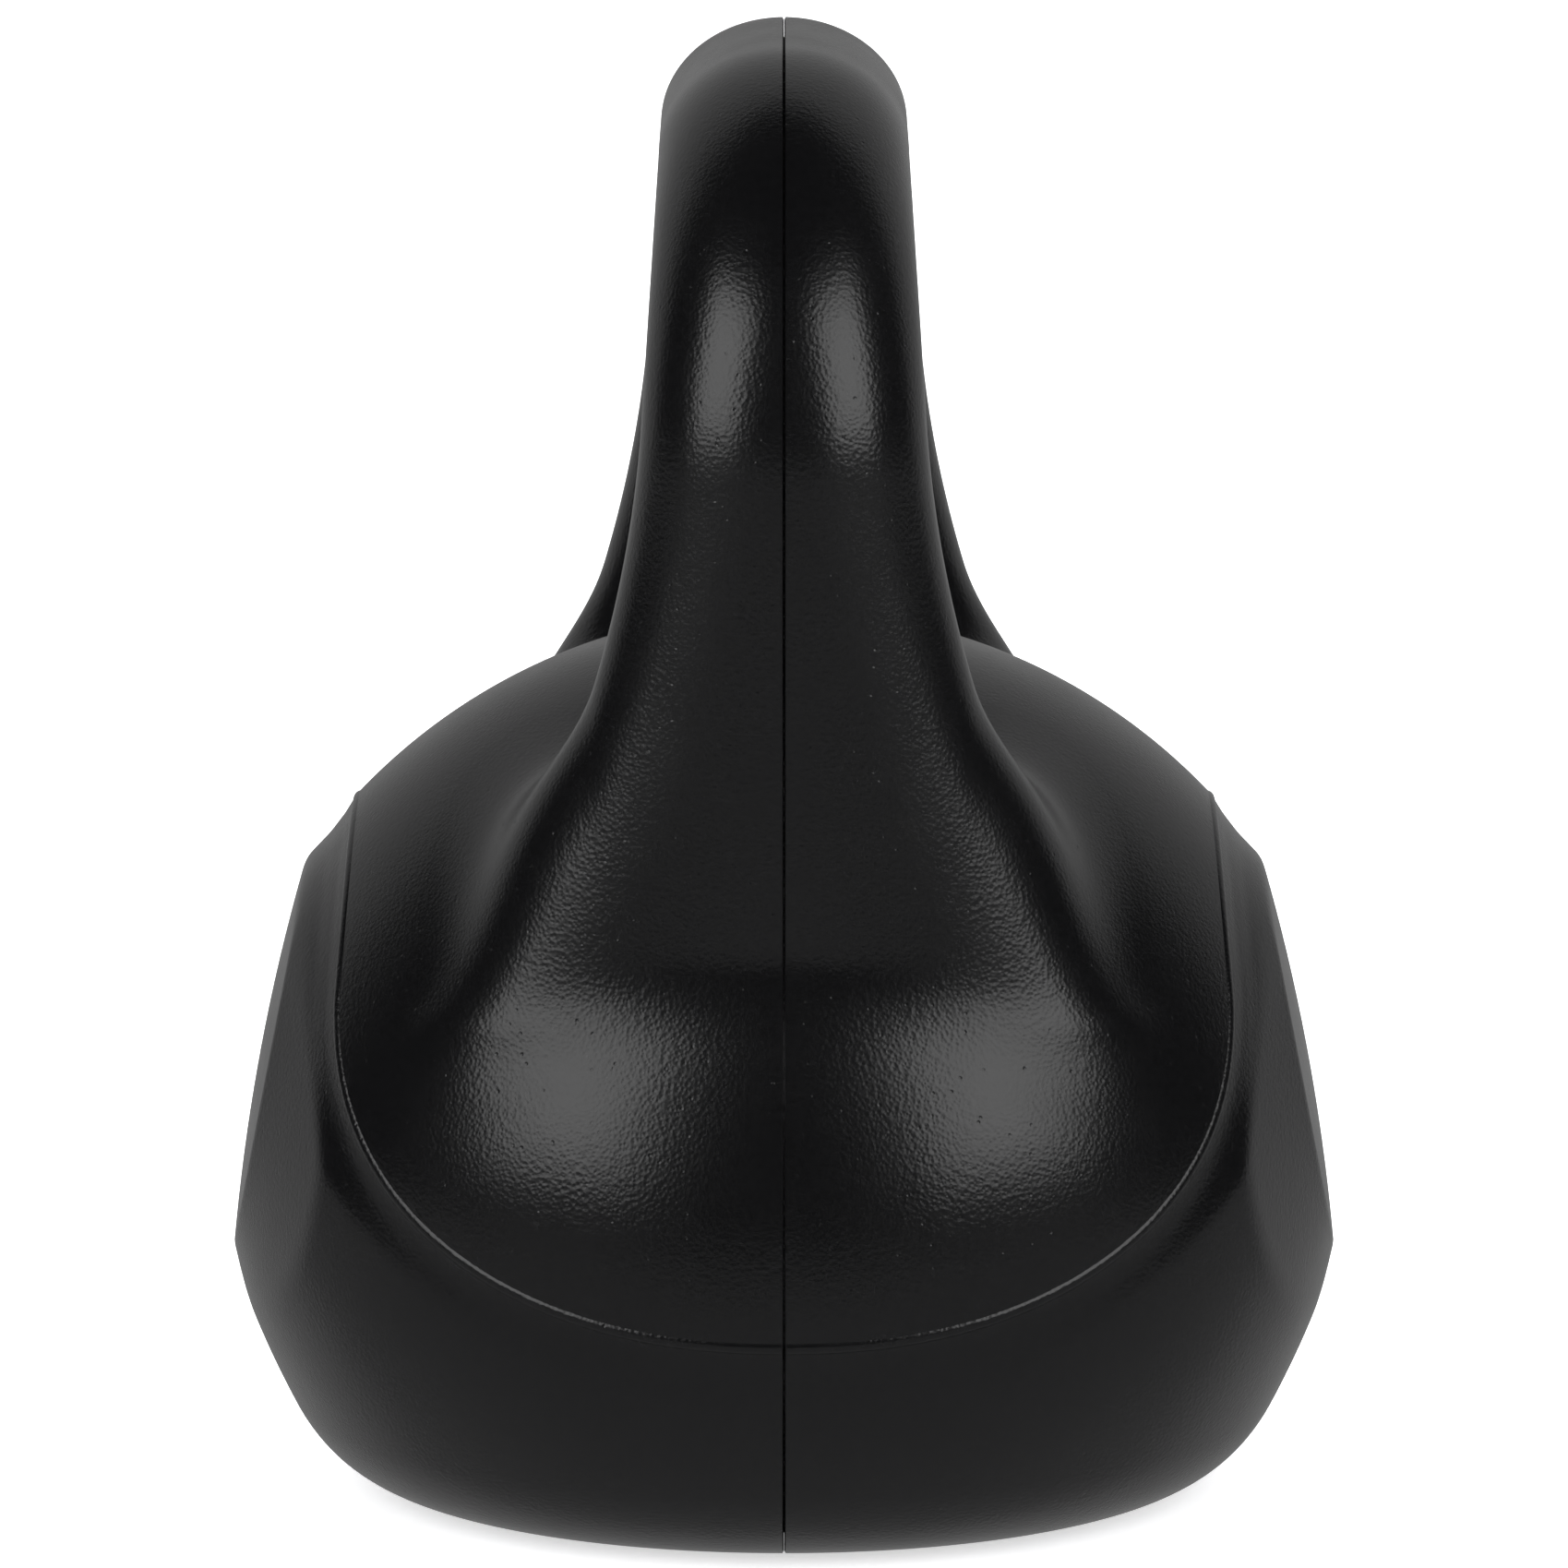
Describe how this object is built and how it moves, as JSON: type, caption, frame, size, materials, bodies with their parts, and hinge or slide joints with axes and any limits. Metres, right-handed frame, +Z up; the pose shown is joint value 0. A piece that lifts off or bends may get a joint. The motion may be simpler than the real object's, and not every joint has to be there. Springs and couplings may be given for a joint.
{
  "type": "kettlebell",
  "caption": "Plastic-skinned kettlebell with a one-piece loop handle, a round body with a flat disc face front and back, and a flat base.",
  "frame": {"origin": "middle of the flat base, on the surface it stands on", "axes": "+Z up; +X along the handle's grip; -Y the front face, +Y the back face"},
  "size_m": [0.1776, 0.1662, 0.2201],
  "materials": {
    "black_plastic": "black moulded plastic with a fine leather-like grain and a soft sheen",
    "cement": "rough cast cement",
    "steel_bar": "plain drawn steel bar",
    "plug_plastic": "black moulded plastic, slightly duller than the shell"
  },
  "bodies": {
    "root": {"front_shell": "black_plastic", "back_shell": "black_plastic", "ballast_core": "cement", "handle_bar": "steel_bar", "filler_plug": "plug_plastic"}
  },
  "joints": []
}
